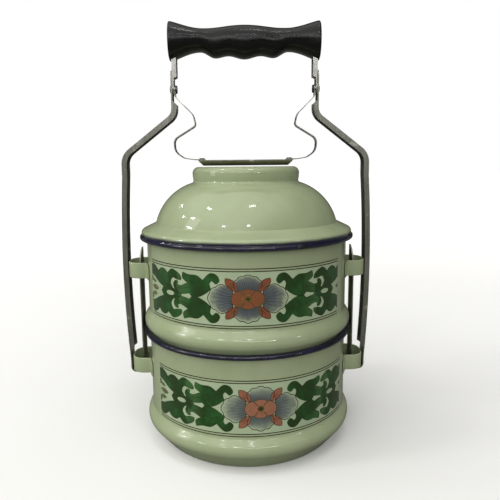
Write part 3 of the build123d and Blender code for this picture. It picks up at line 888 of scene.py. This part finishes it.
# The floor and the lamps are in metres.
FLOOR_RADIUS, FLOOR_SIDES = 14.0, 96
FLOOR_FADE, FLOOR_GLOW = (0.1, 1.8), (0.07, 0.5)  # it glows more and more between these distances
BOUNCE = screen(124, 126, 118)  # the floor as the object's surfaces see it, so that its underside stays dark
PAPER_DARK, PAPER_LIGHT, WHITE = screen(228, 228, 226), screen(236, 236, 234), (1, 1, 1, 1)
AIM = (0, 0, 0.15)  # what every lamp faces
LAMP_HEIGHT, LAMP_SIZE, LAMP_POWER = 2.1, (0.2, 0.08), 2.2
LAMP_FALL = 16  # a ceiling lamp whose distance squared is this has twice the power of one overhead
CEILING_LAMPS = (  # small lamps across a ceiling: each is a bright dot in the enamel of the lid
    (0.2, -0.64), (-1.33, -0.4), (-2.51, 1.31), (-3.0, -0.53), (0.12, -3.15), (-1.72, -2.99), (-3.5, 0.34),
)
FAR_LAMP_SIZE, FAR_LAMP_POWER = (0.8, 0.1), 15
FAR_LAMPS = (  # each is a low streak on the bulges
    (-5.3, -4.1), (-5.6, -1.4), (-3.0, -5.6), (-1.0, -4.9), (2.9, -5.9), (5.6, -3.9),
)
TUBES_PLACE, TUBES_SIZE, TUBES_POWER = (1.3, -6.4, 2.0), (4.0, 0.16), 36  # a row seen as one long streak
WINDOW_PLACE, WINDOW_SIZE, WINDOW_POWER = (-1.7, -0.5, 0.7), (0.5, 1.2), 4


def make_camera():
    camera = bpy.data.objects.new("camera", bpy.data.cameras.new("camera"))
    bpy.context.scene.collection.objects.link(camera)
    camera.data.sensor_width, camera.data.lens = SENSOR, SENSOR * FOCAL_SHARE
    level = math.cos(CAMERA_DOWN)
    ahead = Vector((math.sin(CAMERA_TURN) * level, math.cos(CAMERA_TURN) * level, -math.sin(CAMERA_DOWN)))
    right = Vector((math.cos(CAMERA_TURN), -math.sin(CAMERA_TURN), 0))
    up = right.cross(ahead)
    tilted_right = right * math.cos(CAMERA_ROLL) + up * math.sin(CAMERA_ROLL)
    tilted_up = up * math.cos(CAMERA_ROLL) - right * math.sin(CAMERA_ROLL)
    axes = Matrix((tilted_right, tilted_up, -ahead)).transposed().to_4x4()
    camera.matrix_world = Matrix.Translation(Vector(CAMERA_PLACE) * MM) @ axes
    camera.data.clip_start, camera.data.clip_end = 0.01, 20.0
    bpy.context.scene.camera = camera


def make_light(name, place, size, power):
    lamp = bpy.data.lights.new(name, "AREA")
    lamp.shape, lamp.size, lamp.size_y = "RECTANGLE", size[0], size[1]
    lamp.energy = power
    holder = bpy.data.objects.new(name, lamp)
    bpy.context.scene.collection.objects.link(holder)
    holder.location = place
    holder.rotation_euler = (Vector(AIM) - Vector(place)).to_track_quat("-Z", "Y").to_euler()


def make_lights():
    make_light("window", WINDOW_PLACE, WINDOW_SIZE, WINDOW_POWER)
    for x, y in CEILING_LAMPS:
        power = LAMP_POWER * (1 + (x * x + y * y) / LAMP_FALL)
        make_light("ceiling", (x, y, LAMP_HEIGHT), LAMP_SIZE, power)
    for x, y in FAR_LAMPS:
        make_light("far_ceiling", (x, y, LAMP_HEIGHT), FAR_LAMP_SIZE, FAR_LAMP_POWER)
    make_light("tubes", TUBES_PLACE, TUBES_SIZE, TUBES_POWER)


def make_stage():
    """A round, pale floor that fades to white far from the object, so that no horizon shows."""
    turns = [2 * math.pi * i / FLOOR_SIDES for i in range(FLOOR_SIDES)]
    edge = [(FLOOR_RADIUS * math.cos(a), FLOOR_RADIUS * math.sin(a), 0) for a in turns]
    mesh = bpy.data.meshes.new("floor")
    mesh.from_pydata(edge, [], [tuple(range(FLOOR_SIDES))])
    made = Material("pale_paper")
    tone = made.mix(made.noise(3, detail=2), PAPER_DARK, PAPER_LIGHT)
    seen = made.node("ShaderNodeLightPath").outputs["Is Camera Ray"]
    glow = made.math("MULTIPLY", made.range(made.length(made.place), *FLOOR_FADE, *FLOOR_GLOW), seen)
    made.set(Base_Color=made.mix(seen, BOUNCE, tone), Roughness=0.9)
    made.set(Emission_Strength=glow, Emission_Color=WHITE)
    mesh.materials.append(made.material)
    floor = bpy.data.objects.new("floor", mesh)
    floor.location = (0, 0, FRAME_LOW.z)
    bpy.context.scene.collection.objects.link(floor)


def make_world():
    """A broad, soft glow overhead, to the left and front, in a dim room that the camera sees as white."""
    world = bpy.data.worlds.new("room")
    world.use_nodes = True
    nodes, link = world.node_tree.nodes, world.node_tree.links.new
    towards = nodes.new("ShaderNodeVectorMath")
    towards.operation = "DOT_PRODUCT"
    towards.inputs[1].default_value = Vector(GLOW_DIRECTION).normalized()
    link(nodes.new("ShaderNodeTexCoord").outputs["Generated"], towards.inputs[0])
    spread = nodes.new("ShaderNodeMapRange")
    spread.interpolation_type = "SMOOTHSTEP"
    ends = dict(zip(("From Min", "From Max", "To Min", "To Max"), (*GLOW_EDGE, ROOM_LIGHT, GLOW_LIGHT)))
    for name, value in ends.items():
        spread.inputs[name].default_value = value
    link(towards.outputs["Value"], spread.inputs["Value"])
    room = nodes["Background"]
    room.inputs["Color"].default_value = GLOW_COLOUR
    link(spread.outputs["Result"], room.inputs["Strength"])
    paper = nodes.new("ShaderNodeBackground")
    paper.inputs["Color"].default_value = WHITE
    shown = nodes.new("ShaderNodeMixShader")
    link(nodes.new("ShaderNodeLightPath").outputs["Is Camera Ray"], shown.inputs[0])
    link(room.outputs[0], shown.inputs[1])
    link(paper.outputs[0], shown.inputs[2])
    link(shown.outputs[0], nodes["World Output"].inputs["Surface"])
    bpy.context.scene.world = world


bpy.context.scene.view_settings.view_transform = "Standard"
make_camera()
make_stage()
make_world()
make_lights()
